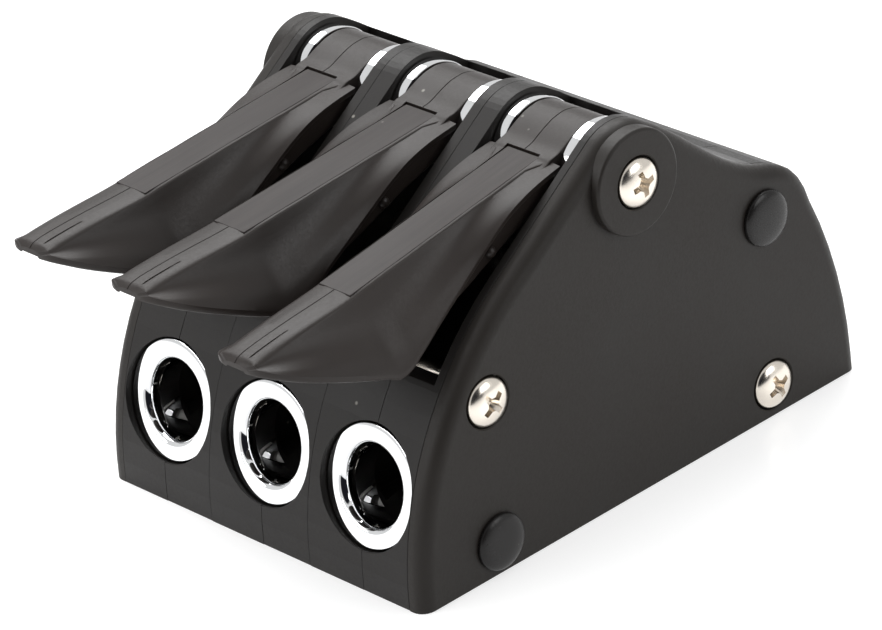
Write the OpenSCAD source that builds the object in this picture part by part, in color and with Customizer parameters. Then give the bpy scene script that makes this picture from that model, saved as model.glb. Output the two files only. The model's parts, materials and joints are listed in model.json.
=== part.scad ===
/* [Overall] */
// Distance between neighbouring rope lines
module_pitch = 30; // [29:0.5:32]
// Length of the base, front to rear
base_len = 124.4; // [124:0.1:126]
// Half of the width over the side plates
half_width = 47.8; // [47.6:0.1:48.4]
// Thickness of a side plate
plate_t = 4.5; // [4:0.1:4.8]

/* [Lever pivot] */
// Distance of the lever pivot behind the front edge
pivot_y = 66; // [65.5:0.1:66.5]
// Height of the lever pivot above the base
pivot_z = 68; // [67.5:0.1:68.5]
// Radius of the housing round the pivot
hub_wall_r = 11.8; // [11.6:0.1:12.2]
// Radius of the pivot axle
axle_r = 4; // [3.5:0.1:4.2]
// How far each lever stands above fully closed, left to right, in degrees
lever_lift = [4.4, 4.4, 0];
// Degrees that the cam turns for one degree of its lever
cam_ratio = 0.27; // [0.25:0.01:0.28]

/* [Housing] */
// Half of the width of a lever slot
slot_half = 11.3; // [11.2:0.05:11.5]
// Thickness of the base under the rope channel
floor_t = 11.5; // [11:0.1:12]
// Height of the front wall under the levers
front_wall_z = 43; // [41:0.5:44]
// How far a right shell reaches past its rope line
shell_reach = 14.1; // [13.8:0.1:14.4]

/* [Fairleads] */
// Outer radius of a front fairlead
fairlead_r = 12.7; // [12:0.1:12.8]
// Radius of the throat that the rope runs through
throat_r = 8; // [7:0.1:8.4]
// Lean of the front fairlead's face from upright, in degrees
front_tilt = 16; // [14:0.5:18]
// Lean of the rear fairlead's face from upright, in degrees
rear_tilt = 12; // [10:0.5:13]

/* [Rope clamp] */
// Distance of the cam pin behind the front edge
cam_pin_y = 56; // [55.5:0.1:56.5]
// Height of the cam pin above the base
cam_pin_z = 46; // [45.5:0.1:46.5]
// Radius of the cam pin
cam_pin_r = 3; // [2.5:0.1:3.2]
// Height of the rope bed's ridges above the base
bed_z = 14.5; // [14:0.1:15]

/* [Fasteners] */
// Radius of the screw heads
head_r = 5.25; // [5:0.05:5.4]
// Radius of the tie rods
rod_r = 3; // [2.5:0.1:3.2]
// Distance between the front and rear mounting screws
mount_spacing = 56; // [54:0.5:58]
// Radius of the mounting screws' tapped holes
mount_hole_r = 2.5; // [2:0.1:3]

/* [Hidden] */

$fn = 64;
eps = 0.01;
running_gap = 0.05;
mid_y = base_len / 2;
stack_half = half_width - plate_t;
module_x = [-module_pitch, 0, module_pitch];

// Colours
body_black = [0.10, 0.095, 0.09];
lever_black = [0.14, 0.13, 0.12];
strip_black = [0.17, 0.165, 0.16];
chrome = [0.85, 0.86, 0.88];
stainless = [0.72, 0.70, 0.67];
cast_grey = [0.55, 0.55, 0.54];
brass_yellow = [0.78, 0.62, 0.32];

// Side outline, as [distance behind the front edge, height]
front_arc_r = 73;
foot_angle = 89;
slope_angle = 34;
front_arc_c = front_arc_r * [sin(foot_angle), -cos(foot_angle)];

function arc(c, r, a0, a1, n) = [for (i = [0:n]) let (a = a0 + (a1 - a0) * i / n) c + r * [cos(a), sin(a)]];
function bezier(p, n) = [for (i = [0:n]) let (t = i / n, u = 1 - t)
    u * u * u * p[0] + 3 * u * u * t * p[1] + 3 * u * t * t * p[2] + t * t * t * p[3]];
function tail(list) = [for (i = [1:len(list) - 1]) list[i]];

pivot = [pivot_y, pivot_z];
cam_pin = [cam_pin_y, cam_pin_z];
hub_leave_angle = 58;
hub_leave = pivot + hub_wall_r * [cos(hub_leave_angle), sin(hub_leave_angle)];
dip_end = [103, 55.1];
hump_end = [116.2, 42.6];
rear_foot = [base_len, 4];
side_outline = concat(
    arc(front_arc_c, front_arc_r, 90 + foot_angle, 90 + slope_angle, 14),
    arc(pivot, hub_wall_r, 90 + slope_angle, hub_leave_angle, 10),
    tail(bezier([hub_leave, hub_leave + [11.9, -7.4], dip_end - [11.1, -4.5], dip_end], 10)),
    tail(bezier([dip_end, dip_end + [8, -2.2], hump_end - [2, -7.6], hump_end], 6)),
    tail(bezier([hump_end, hump_end + [5.4, -12.2], rear_foot + [0, 13], rear_foot], 6)),
    [[base_len, 0]]);

// The space for the lever, the cam and the rope inside one module
rear_wall_y = 113;
slot_outline = [[14, floor_t], [14, 29], [18.5, front_wall_z], [-1, front_wall_z], [-1, 90], [80, 90],
    [78.3, 70.5], [84.5, 62.5], [91, 56.5], [100, 51.5], [107, 46],
    [rear_wall_y, 31], [rear_wall_y, floor_t]];

// Rods and screws that run across the stack, as [distance behind the front edge, height]
tie_front = [22.5, 37.9];
tie_rear = [99.5, 7.2];
dowel_front_at = [21.3, 7.3];
dowel_rear_at = [101.2, 44.9];
boss_r = 11.1;
boss_t = 2;
cap_r = 6;
cap_height = 2;
cap_rim = 0.4;
rod_half = half_width - 2;

// Side screws: the head stands in a seat, sunk a little below the surface
screw_r = 2.5;
screw_len = 16;
head_height = 1.8;
head_sunk = 0.6;
head_rim = 1;
head_gap = 0.15;
recess_inner = 1.2;
recess_depth = 4;
recess_half = 2.7;
recess_w = 0.9;

// Tapped inserts for the mounting screws
insert_r = 4.2;
insert_h = 9.5;
insert_bore_h = 8.5;
insert_y = [-mount_spacing / 2, mount_spacing / 2];

// Front fairlead: centre of its face, tube and flange
front_face = [5.2, 21.2];
rear_face = [122.6, 20];
fairlead_tube_r = throat_r + 1.5;
fairlead_len = 9.5;
flange_t = 2.6;
rear_fairlead_r = 11.6;
flange_gap = 0.4;
edge_r = 0.8;
bell_drop = 3.1;
pocket_extra = 8;

// Draws children at the distance behind the front edge and height given by p
module at(p, x = 0) {
    translate([x, p[0] - mid_y, p[1]]) children();
}

// Extrudes a side outline from x0 to x1
module across(x0, x1) {
    translate([x0, -mid_y, 0]) rotate([90, 0, 90]) linear_extrude(x1 - x0) children();
}

// A round bar along X from x0 to x1
module bar(p, r, x0, x1) {
    at(p, x0) rotate([0, 90, 0]) cylinder(r = r, h = x1 - x0);
}

// Places a fairlead's axis, with +Z of the children pointing out of the housing
module front_axis(k) {
    at(front_face, module_x[k]) rotate([90 - front_tilt, 0, 0]) children();
}

module rear_axis(k) {
    at(rear_face, module_x[k]) rotate([rear_tilt - 90, 0, 0]) children();
}

module cross_bores(x0, x1) {
    bar(pivot, axle_r + running_gap, x0, x1);
    for (p = [tie_front, tie_rear, dowel_front_at, dowel_rear_at]) bar(p, rod_r + running_gap, x0, x1);
}

// Room for one fairlead, its face at z = 0: the tube's bore and the seat of its flange
module fairlead_pocket(flange_r) {
    tube_len = fairlead_len + pocket_extra;
    translate([0, 0, -tube_len]) cylinder(r = fairlead_tube_r + running_gap, h = tube_len);
    translate([0, 0, -flange_t]) cylinder(r = flange_r + flange_gap, h = flange_t + pocket_extra);
}

// Half shell of module k between x0 and x1, measured from the rope line
module half_shell(k, x0, x1) {
    x = module_x[k];
    slot_0 = max(x0, -slot_half);
    slot_1 = min(x1, slot_half);
    color(body_black) difference() {
        across(x + x0, x + x1) polygon(side_outline);
        across(x + slot_0 - (slot_0 == 0 ? 1 : 0), x + slot_1 + (slot_1 == 0 ? 1 : 0)) polygon(slot_outline);
        cross_bores(x + x0 - 1, x + x1 + 1);
        bar(cam_pin, cam_pin_r + running_gap, x - cam_pin_half - 0.1, x + cam_pin_half + 0.1);
        front_axis(k) fairlead_pocket(fairlead_r);
        rear_axis(k) fairlead_pocket(rear_fairlead_r);
        for (y = insert_y) translate([x, y, -1]) cylinder(r = insert_r + eps, h = insert_h + 1.2);
    }
}

module shell_left(k) {
    half_shell(k, k == 0 ? -stack_half - module_x[0] : shell_reach - module_pitch, 0);
}

module shell_right(k) {
    half_shell(k, 0, k == 2 ? stack_half - module_x[2] : shell_reach);
}

// Side plate, drawn for the right side
module side_plate() {
    color(body_black) difference() {
        union() {
            across(stack_half, half_width) polygon(side_outline);
            bar(pivot, boss_r, stack_half, half_width + boss_t);
        }
        cross_bores(stack_half - 1, half_width - 1.5);
        bar(pivot, head_r + head_gap, half_width + boss_t - head_sunk - head_rim, half_width + boss_t + 1);
        bar(pivot, screw_r + running_gap, stack_half - 1, half_width + boss_t);
        for (p = [tie_front, tie_rear]) {
            bar(p, head_r + head_gap, half_width - head_sunk - head_rim, half_width + 1);
            bar(p, screw_r + running_gap, stack_half - 1, half_width + 1);
        }
        for (p = [dowel_front_at, dowel_rear_at]) bar(p, rod_r + running_gap, stack_half - 1, half_width + 1);
    }
}

// Raised-head cross-recess screw, its head's underside at x = 0 and pointing to +X
module screw() {
    color(stainless) difference() {
        union() {
            rotate([0, 90, 0]) rotate_extrude() polygon(concat([[0, 0], [head_r, 0]],
                [for (i = [0:8]) let (a = i * 90 / 8)
                    [head_r * cos(a), head_sunk + head_rim + head_height * sin(a)]]));
            rotate([0, -90, 0]) cylinder(r = screw_r, h = screw_len);
        }
        for (a = [0, 90]) rotate([a, 0, 0]) translate([recess_inner, -recess_half, -recess_w / 2])
            cube([recess_depth, 2 * recess_half, recess_w]);
    }
}

module side_screws() {
    at(pivot, half_width + boss_t - head_sunk - head_rim) screw();
    for (p = [tie_front, tie_rear]) at(p, half_width - head_sunk - head_rim) screw();
}

// Rod across the stack with tapped ends for the side screws
module tapped_rod(p, r) {
    color(stainless) difference() {
        bar(p, r, -rod_half, rod_half);
        bar(p, screw_r + eps, -rod_half - 1, -rod_half + screw_len);
        bar(p, screw_r + eps, rod_half - screw_len, rod_half + 1);
    }
}

// Plain rod right across the stack
module dowel(p) {
    color(stainless) bar(p, rod_r, -half_width, half_width);
}

// Domed cap over a dowel's end
module end_cap() {
    dome = cap_height - cap_rim;
    color(body_black) rotate([0, 90, 0]) rotate_extrude() polygon(concat(
        [[0, 0], [cap_r, 0], [cap_r, cap_rim]],
        [for (i = [1:8]) let (a = i * 90 / 8) [cap_r * cos(a), cap_rim + dome * sin(a)]]));
}

module end_caps() {
    for (p = [dowel_front_at, dowel_rear_at]) at(p, half_width) end_cap();
}

// Bell-mouth fairlead, its face at z = 0 and its tube towards -Z
module fairlead(flange_r) {
    edge_at = flange_r - edge_r;
    bell_w = 0.75 * (edge_at - throat_r);
    color(chrome) rotate_extrude() polygon(concat(
        [[fairlead_tube_r, -fairlead_len], [throat_r, -fairlead_len], [throat_r, -bell_drop]],
        [for (i = [1:8]) let (a = 180 - i * 90 / 8)
            [throat_r + bell_w * (1 + cos(a)), bell_drop * (sin(a) - 1)]],
        [for (i = [0:4]) let (a = 90 - i * 90 / 4) [edge_at, -edge_r] + edge_r * [cos(a), sin(a)]],
        [[flange_r, -flange_t], [fairlead_tube_r, -flange_t]]));
}

// Lever paddle, as [distance forward of the pivot, ridge height, half width, edge height]
paddle = [
    [11.2, 6.0, 9.9, 4.0], [15, 5.4, 10.1, 3.4], [20, 4.6, 10.3, 2.3], [25, 3.8, 10.5, 0.6],
    [30, 3.1, 10.8, -1.9], [36, 2.1, 11.2, -5.6], [42, 1.2, 11.7, -9.3], [48, 0.2, 12.2, -13.0],
    [54, -0.7, 12.8, -16.8], [57.5, -1.3, 13.0, -18.9], [60, -1.7, 13.0, -19.4], [63, -2.4, 12.9, -18.1],
    [68, -2.9, 12.7, -16.0], [74, -3.1, 12.1, -13.4], [80, -3.2, 11.2, -10.7], [84.2, -3.4, 10.2, -8.9],
    [87.2, -3.7, 8.8, -7.8], [89.2, -4.2, 7.4, -7.2], [90.2, -5.4, 5.6, -6.9]];
ridge_half = 5.2;
flank = [[0.15, 0.24], [0.35, 0.44], [0.6, 0.62], [0.8, 0.77], [1, 1]];
paddle_wall = 2.8;
edge_t = 1.5;

// One half of a paddle's section, from the middle of the ridge down to the edge and back under
function half_section(p) = let (
        top = p[1], w = p[2], edge = p[3] + edge_t, r = min(ridge_half, w - 0.8),
        under = max(top - paddle_wall, p[3] + 0.3))
    concat([[0, top + 0.25], [r - 0.8, top + 0.1], [r, top - 0.4]],
        [for (f = flank) [r + (w - r) * f[0], top - 0.4 + (edge - top + 0.4) * f[1]]],
        [[w - 0.4, p[3]], [w - 1.8, p[3] + 0.2],
        [r + (w - r) * 0.25 - 1.2, min(under, p[3] + 0.35 + (under - p[3]) * 0.55)],
        [r - 1.8, under], [0, under]]);
function whole_section(p) = let (h = half_section(p), n = len(h))
    concat([for (q = h) [q[0], -p[0], q[1]]], [for (i = [n - 2:-1:1]) [-h[i][0], -p[0], h[i][1]]]);

module paddle_body() {
    rings = [for (p = paddle) whole_section(p)];
    n = len(rings[0]);
    m = len(rings);
    points = [for (ring = rings) for (q = ring) q];
    sides = [for (j = [0:m - 2]) for (i = [0:n - 1]) let (a = j * n + i, b = j * n + (i + 1) % n)
        each [[a, b, b + n], [a, b + n, a + n]]];
    polyhedron(points, concat(sides,
        [[for (i = [n - 1:-1:0]) i]], [[for (i = [0:n - 1]) (m - 1) * n + i]]), convexity = 6);
}

lever_hub_r = 10.3;
lever_hub_half = 6.4;
cam_slot_half = 3.4;
cam_slot_y = [-6.4, 12];
cam_slot_z = [-14, 6];
lobe_clear_r = 8;
sleeve_r = 5.5;
web_inner = 7.2;
web_outer = 9.3;
spine_half = 1.2;
nub_r = 1.5;
nub_at = [32.2, -5.4];
strip_from = 11.4;
strip_to = 64;
strip_half = 4.5;
strip_t = 1;
strip_rear_z = 6.1;
strip_slope = 8.9;
strip_gap = 0.35;

// Moves children from the pivot's own frame into place, at the lever's angle
module on_lever(k) {
    at(pivot, module_x[k]) rotate([-lever_lift[k], 0, 0]) children();
}

// Extrudes an outline of [distance forward of the pivot, height] between x0 and x1
module lever_across(x0, x1) {
    translate([x0, 0, 0]) rotate([90, 0, 90]) linear_extrude(x1 - x0) mirror([1, 0]) children();
}

module lever(k) {
    color(lever_black) on_lever(k) difference() {
        union() {
            paddle_body();
            rotate([0, 90, 0]) cylinder(r = lever_hub_r, h = 2 * lever_hub_half, center = true);
            lever_across(-lever_hub_half, lever_hub_half)
                polygon([[0, 10.2], [3, 9.85], [6, 8.7], [9, 7.3], [strip_from, 6.9], [13, 6.2], [20, 3.5],
                    [20, -0.5], [11, -4], [5, -9]]);
            for (s = [-1, 1]) {
                x = s > 0 ? web_inner : -web_outer;
                lever_across(x, x + web_outer - web_inner)
                    polygon([[11.8, 4.2], [25, 2], [36, -3], [46, -10], [46, -13.5], [36, -9.2], [26, -4.5],
                        [12.5, 0.5]]);
                translate([s * web_outer, -nub_at[0], nub_at[1]]) sphere(r = nub_r);
            }
            lever_across(-spine_half, spine_half) polygon([[18, 3], [70, -4], [70, -6], [45, -7], [18, -2]]);
        }
        rotate([0, 90, 0]) cylinder(r = sleeve_r + eps, h = 2 * lever_hub_half + 1, center = true);
        rotate([0, 90, 0]) cylinder(r = lobe_clear_r, h = 2 * cam_slot_half, center = true);
        translate([-cam_slot_half, cam_slot_y[0], cam_slot_z[0]])
            cube([2 * cam_slot_half, cam_slot_y[1] - cam_slot_y[0], cam_slot_z[1] - cam_slot_z[0]]);
        strip_shape(strip_gap, strip_t);
    }
}

// The label strip's solid, grown by gap at its rear and left edges and by lift at its top
module strip_shape(gap = 0, lift = 0) {
    translate([0, -strip_from, strip_rear_z]) rotate([strip_slope, 0, 0])
        translate([-strip_half - gap, -(strip_to - strip_from), -strip_t])
            cube([2 * strip_half + gap, strip_to - strip_from + gap, strip_t + lift]);
}

module label_strip(k) {
    color(strip_black) on_lever(k) strip_shape();
}

flange_inner = 8;
flange_outer = slot_half - 0.15;
flange_r = 10.6;
lobe_r = 7.6;
lobe_nose_r = 5.4;
lobe_offset = 4.9;
lobe_angle = 3;
lobe_half = cam_slot_half - 0.2;

// Chromed drum in the lever's hub: a sleeve, two flanges and the lobe that presses the cam
module lever_drum(k) {
    color(chrome) on_lever(k) rotate([0, 90, 0]) difference() {
        union() {
            cylinder(r = sleeve_r, h = 2 * flange_outer, center = true);
            for (z = [-flange_outer, flange_inner]) translate([0, 0, z])
                cylinder(r = flange_r, h = flange_outer - flange_inner);
            cylinder(r = lobe_r, h = 2 * lobe_half, center = true);
            translate([lobe_offset * cos(lobe_angle), -lobe_offset * sin(lobe_angle), 0])
                cylinder(r = lobe_nose_r, h = 2 * lobe_half, center = true);
        }
        cylinder(r = axle_r + running_gap, h = 2 * flange_outer + 1, center = true);
    }
}

cam_pin_half = 12.9;
cam_arm_half = 3;
cam_nose_half = 7.5;
cam_heel_r = 3;
tooth_depth = 1.2;

// Cam outline with the lever closed, relative to the cam pin
cam_heel = [10, 8];
cam_teeth_from = [2, -23];
cam_teeth_mid = [11, -28.8];
cam_teeth_to = [25, -20];
tooth_n = 9;
face = bezier([cam_teeth_from, cam_teeth_from + [4, -5], cam_teeth_to - [6, 7.5], cam_teeth_to], 2 * tooth_n);
toothed_face = [for (i = [0:2 * tooth_n]) face[i] + (i % 2 == 1 ? [0, tooth_depth] : [0, 0])];
cam_nose_outline = concat(toothed_face, [[23, -8], [14, -6], [0, -14]]);
cam_arm_outline = [[-5, 1], [-4.6, -3], [0, -15], [14, -12], [22, -9], [18, 0], [12.9, 8.4], [7.4, 9.6],
    [1, 5.4]];

// Places children in the cam's frame, turned with its lever
module on_cam(k) {
    at(cam_pin, module_x[k]) rotate([cam_ratio * lever_lift[k], 0, 0]) children();
}

module cam(k) {
    color(cast_grey) on_cam(k) difference() {
        union() {
            translate([-cam_arm_half, 0, 0]) rotate([90, 0, 90])
                linear_extrude(2 * cam_arm_half) polygon(cam_arm_outline);
            translate([-cam_arm_half, cam_heel[0], cam_heel[1]]) rotate([0, 90, 0])
                cylinder(r = cam_heel_r, h = 2 * cam_arm_half);
            translate([-cam_arm_half, 0, 0]) rotate([0, 90, 0]) cylinder(r = 5.5, h = 2 * cam_arm_half);
            translate([-cam_nose_half, 0, 0]) rotate([90, 0, 90])
                linear_extrude(2 * cam_nose_half) polygon(cam_nose_outline);
        }
        rotate([0, 90, 0]) cylinder(r = cam_pin_r + running_gap, h = 40, center = true);
    }
}

module cam_pin_bar(k) {
    color(stainless) bar(cam_pin, cam_pin_r, module_x[k] - cam_pin_half, module_x[k] + cam_pin_half);
}

spring_r = 4.3;
spring_wire_r = 0.6;
spring_turns = 4;
spring_x = 4.2;
spring_rise = 1.35;
spring_sides = 8;
spring_steps = 64;
function coil_point(t) = [spring_x + spring_rise * spring_turns * t,
    spring_r * cos(360 * spring_turns * t + 200), spring_r * sin(360 * spring_turns * t + 200)];

// Torsion spring round the cam pin, beside the cam
module cam_spring(k) {
    points = [for (j = [0:spring_steps]) let (t = j / spring_steps, c = coil_point(t),
            out = [0, c[1], c[2]] / spring_r)
        for (i = [0:spring_sides - 1]) let (a = 360 * i / spring_sides)
            c + spring_wire_r * (cos(a) * out + sin(a) * [1, 0, 0])];
    n = spring_sides;
    sides = [for (j = [0:spring_steps - 1]) for (i = [0:n - 1]) let (a = j * n + i, b = j * n + (i + 1) % n)
        each [[a, b, b + n], [a, b + n, a + n]]];
    color(stainless) at(cam_pin, module_x[k]) polyhedron(points, concat(sides,
        [[for (i = [n - 1:-1:0]) i]], [[for (i = [0:n - 1]) spring_steps * n + i]]), convexity = 8);
}

bed_from = 52;
bed_to = 96;
bed_half = 9.5;
bed_t = 2;
bed_ridge_n = 7;
bed_ridge_from = 61;
bed_ridge_pitch = 3.2;
bed_ridge_sunk = 0.1;
bed_ridge_h = bed_z - floor_t - bed_t + bed_ridge_sunk;

// Rope bed with cross ridges under the cam
module rope_bed(k) {
    color(cast_grey) union() {
        translate([module_x[k] - bed_half, bed_from - mid_y, floor_t])
            cube([2 * bed_half, bed_to - bed_from, bed_t]);
        for (i = [0:bed_ridge_n - 1])
            translate([module_x[k] - bed_half, bed_ridge_from + bed_ridge_pitch * i - mid_y,
                floor_t + bed_t - bed_ridge_sunk])
            rotate([90, 0, 90]) linear_extrude(2 * bed_half)
                polygon([[-1.2, 0], [1.2, 0], [0.3, bed_ridge_h], [-0.3, bed_ridge_h]]);
    }
}

// Tapped inserts in the base, two under each rope line
module mounting_inserts() {
    color(brass_yellow) for (x = module_x) for (y = insert_y) translate([x, y, 0]) difference() {
        cylinder(r = insert_r, h = insert_h);
        translate([0, 0, -1]) cylinder(r = mount_hole_r, h = insert_bore_h + 1);
    }
}

mirror([1, 0, 0]) side_plate();  // side_plate_left
side_plate();  // side_plate_right
shell_left(0);  // shell_left_1
shell_left(1);  // shell_left_2
shell_left(2);  // shell_left_3
shell_right(0);  // shell_right_1
shell_right(1);  // shell_right_2
shell_right(2);  // shell_right_3
lever(0);  // lever_1
lever(1);  // lever_2
lever(2);  // lever_3
label_strip(0);  // label_strip_1
label_strip(1);  // label_strip_2
label_strip(2);  // label_strip_3
lever_drum(0);  // lever_drum_1
lever_drum(1);  // lever_drum_2
lever_drum(2);  // lever_drum_3
cam(0);  // cam_1
cam(1);  // cam_2
cam(2);  // cam_3
cam_pin_bar(0);  // cam_pin_1
cam_pin_bar(1);  // cam_pin_2
cam_pin_bar(2);  // cam_pin_3
cam_spring(0);  // cam_spring_1
cam_spring(1);  // cam_spring_2
cam_spring(2);  // cam_spring_3
rope_bed(0);  // rope_bed_1
rope_bed(1);  // rope_bed_2
rope_bed(2);  // rope_bed_3
front_axis(0) fairlead(fairlead_r);  // front_fairlead_1
front_axis(1) fairlead(fairlead_r);  // front_fairlead_2
front_axis(2) fairlead(fairlead_r);  // front_fairlead_3
rear_axis(0) fairlead(rear_fairlead_r);  // rear_fairlead_1
rear_axis(1) fairlead(rear_fairlead_r);  // rear_fairlead_2
rear_axis(2) fairlead(rear_fairlead_r);  // rear_fairlead_3
tapped_rod(pivot, axle_r);  // pivot_axle
tapped_rod(tie_front, rod_r);  // tie_rod_front
tapped_rod(tie_rear, rod_r);  // tie_rod_rear
dowel(dowel_front_at);  // dowel_front
dowel(dowel_rear_at);  // dowel_rear
mirror([1, 0, 0]) side_screws();  // screws_left
side_screws();  // screws_right
mirror([1, 0, 0]) end_caps();  // end_caps_left
end_caps();  // end_caps_right
mounting_inserts();
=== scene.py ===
"""Looks of a bank of three rope clutches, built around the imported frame."""

import json
import math

import bmesh
import bpy
from mathutils import Matrix, Vector


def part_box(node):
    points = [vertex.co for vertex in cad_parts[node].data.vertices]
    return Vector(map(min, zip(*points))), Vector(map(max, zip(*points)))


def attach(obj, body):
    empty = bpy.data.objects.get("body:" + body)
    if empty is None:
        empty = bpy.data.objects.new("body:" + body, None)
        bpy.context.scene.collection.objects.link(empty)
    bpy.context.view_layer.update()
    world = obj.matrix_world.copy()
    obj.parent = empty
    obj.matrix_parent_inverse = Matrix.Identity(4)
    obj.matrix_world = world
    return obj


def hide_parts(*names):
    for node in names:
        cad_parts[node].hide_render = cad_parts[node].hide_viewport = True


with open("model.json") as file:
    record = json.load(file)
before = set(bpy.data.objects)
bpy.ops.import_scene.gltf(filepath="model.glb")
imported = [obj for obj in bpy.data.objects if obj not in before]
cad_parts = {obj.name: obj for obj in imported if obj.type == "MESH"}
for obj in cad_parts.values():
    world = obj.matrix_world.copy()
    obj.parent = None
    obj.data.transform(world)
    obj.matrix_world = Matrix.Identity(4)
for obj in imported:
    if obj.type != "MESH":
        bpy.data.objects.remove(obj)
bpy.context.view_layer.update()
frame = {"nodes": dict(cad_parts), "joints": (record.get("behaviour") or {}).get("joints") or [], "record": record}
MM = 0.001
MODULES = (1, 2, 3)
JOINTS = {j["name"]: j for j in frame["joints"]}
MOUNTS = {m["name"]: m for m in frame["record"]["mounts"]}
PIVOT = Vector(JOINTS["lever_2_hinge"]["pos_m"]) / MM
PLATE_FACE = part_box("dowel_front")[1][0] / MM
CENTRE = Vector((0, 0, 0))
ACROSS = Vector((1, 0, 0))


# ---------------------------------------------------------------- mesh tools

def new_object(name, bm, angle=32):
    """A linked object from bm, in metres, with edges sharper than angle left sharp."""
    bmesh.ops.recalc_face_normals(bm, faces=bm.faces)
    mesh = bpy.data.meshes.new(name)
    bm.to_mesh(mesh)
    bm.free()
    mesh.transform(Matrix.Scale(MM, 4))
    mesh.shade_smooth()
    mesh.set_sharp_from_angle(angle=math.radians(angle))
    obj = bpy.data.objects.new(name, mesh)
    bpy.context.scene.collection.objects.link(obj)
    return obj


def settle(obj, angle=32):
    """Applies obj's modifiers to its mesh."""
    depsgraph = bpy.context.evaluated_depsgraph_get()
    mesh = bpy.data.meshes.new_from_object(obj.evaluated_get(depsgraph))
    obj.modifiers.clear()
    obj.data = mesh
    mesh.shade_smooth()
    mesh.set_sharp_from_angle(angle=math.radians(angle))


def boolean(obj, tools, operation, angle=32):
    """Joins the tools to obj or cuts them from it, and removes them."""
    for tool in tools:
        modifier = obj.modifiers.new("cut", "BOOLEAN")
        modifier.operation = operation
        modifier.solver = "MANIFOLD"
        modifier.object = tool
    settle(obj, angle)
    for tool in tools:
        bpy.data.objects.remove(tool)


def loft(rings):
    """A solid skinned over a list of rings, each a list of points, and capped at both ends."""
    bm = bmesh.new()
    rows = [[bm.verts.new(p) for p in ring] for ring in rings]
    n = len(rows[0])
    for low, high in zip(rows, rows[1:]):
        for i in range(n):
            j = (i + 1) % n
            bm.faces.new((low[i], low[j], high[j], high[i]))
    bm.faces.new(rows[0])
    bm.faces.new(rows[-1])
    return bm


def lathe(profile, axis=ACROSS, at=CENTRE, steps=96, bm=None):
    """Turns a closed profile of (distance along the axis, radius) about the axis through at."""
    bm = bm or bmesh.new()
    turn = Vector((0, 0, 1)).rotation_difference(axis.normalized()).to_matrix()
    rings = []
    for i in range(steps):
        a = 2 * math.pi * i / steps
        out = Vector((math.cos(a), math.sin(a), 0))
        rings.append([bm.verts.new(at + turn @ (out * r + Vector((0, 0, z)))) for z, r in profile])
    n = len(profile)
    for low, high in zip(rings, rings[1:] + rings[:1]):
        for i in range(n):
            j = (i + 1) % n
            if profile[i][1] or profile[j][1]:
                bm.faces.new((low[i], low[j], high[j], high[i]))
    bmesh.ops.remove_doubles(bm, verts=bm.verts, dist=1e-5)
    return bm


def arc(centre, radius, start, end, n):
    """Points (u, v) along an arc of n steps between two angles in degrees."""
    angles = [math.radians(start + (end - start) * i / n) for i in range(n + 1)]
    return [(centre[0] + radius * math.cos(a), centre[1] + radius * math.sin(a)) for a in angles]


def extrude(outline, x0, x1, edge=0.0, steps=3):
    """A solid between x0 and x1 from an outline of (y, z), with its rims rounded by edge."""
    if area(outline) < 0:
        outline = outline[::-1]
    rounds = [edge * (1 - math.cos(math.radians(90 * i / steps))) for i in range(steps + 1)]
    heights = [edge * (1 - math.sin(math.radians(90 * i / steps))) for i in range(steps + 1)]
    sections = [(x0 + h, inset) for h, inset in zip(heights, rounds)][::-1]
    sections += [(x1 - h, inset) for h, inset in zip(heights, rounds)]
    if edge == 0:
        sections = [(x0, 0), (x1, 0)]
    return loft([moved_in(outline, x, inset) for x, inset in sections])


def moved_in(outline, x, inset):
    """The ring at x of an outline moved inwards by inset all round."""
    return [(x, y, z) for y, z in inset_outline(outline, [inset] * len(outline))]


def area(outline):
    """Signed area of an outline, positive when it runs anticlockwise."""
    ends = zip(outline, outline[1:] + outline[:1])
    return sum(a[0] * b[1] - b[0] * a[1] for a, b in ends) / 2


def inset_outline(outline, distances):
    """An anticlockwise outline moved inwards, each edge by its own distance."""
    n = len(outline)
    moved = []
    for i in range(n):
        before, here, after = (Vector(outline[j % n]) for j in (i - 1, i, i + 1))
        a = (here - before).normalized()
        b = (after - here).normalized()
        na = Vector((-a.y, a.x))
        nb = Vector((-b.y, b.x))
        da, db = distances[(i - 1) % n], distances[i]
        turn = na.x * nb.y - na.y * nb.x
        if abs(turn) < 0.02:
            step = (na * da + nb * db) / 2
        else:
            step = Vector((da * nb.y - db * na.y, db * na.x - da * nb.x)) / turn
        moved.append((here.x + step.x, here.y + step.y))
    return moved


def round_corners(outline, radius, limit=35):
    """An outline with its corners sharper than limit rounded."""
    n = len(outline)
    rounded = []
    for i in range(n):
        before, here, after = (Vector(outline[j % n]) for j in (i - 1, i, i + 1))
        a = (here - before).normalized()
        b = (after - here).normalized()
        turn = a.angle(b)
        if math.degrees(turn) < limit:
            rounded.append((here.x, here.y))
            continue
        back = radius * math.tan(turn / 2)
        start, end = here - a * back, here + b * back
        for k in range(6):
            t = k / 5
            p = start * (1 - t) ** 2 + here * 2 * t * (1 - t) + end * t * t
            rounded.append((p.x, p.y))
    return rounded


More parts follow.
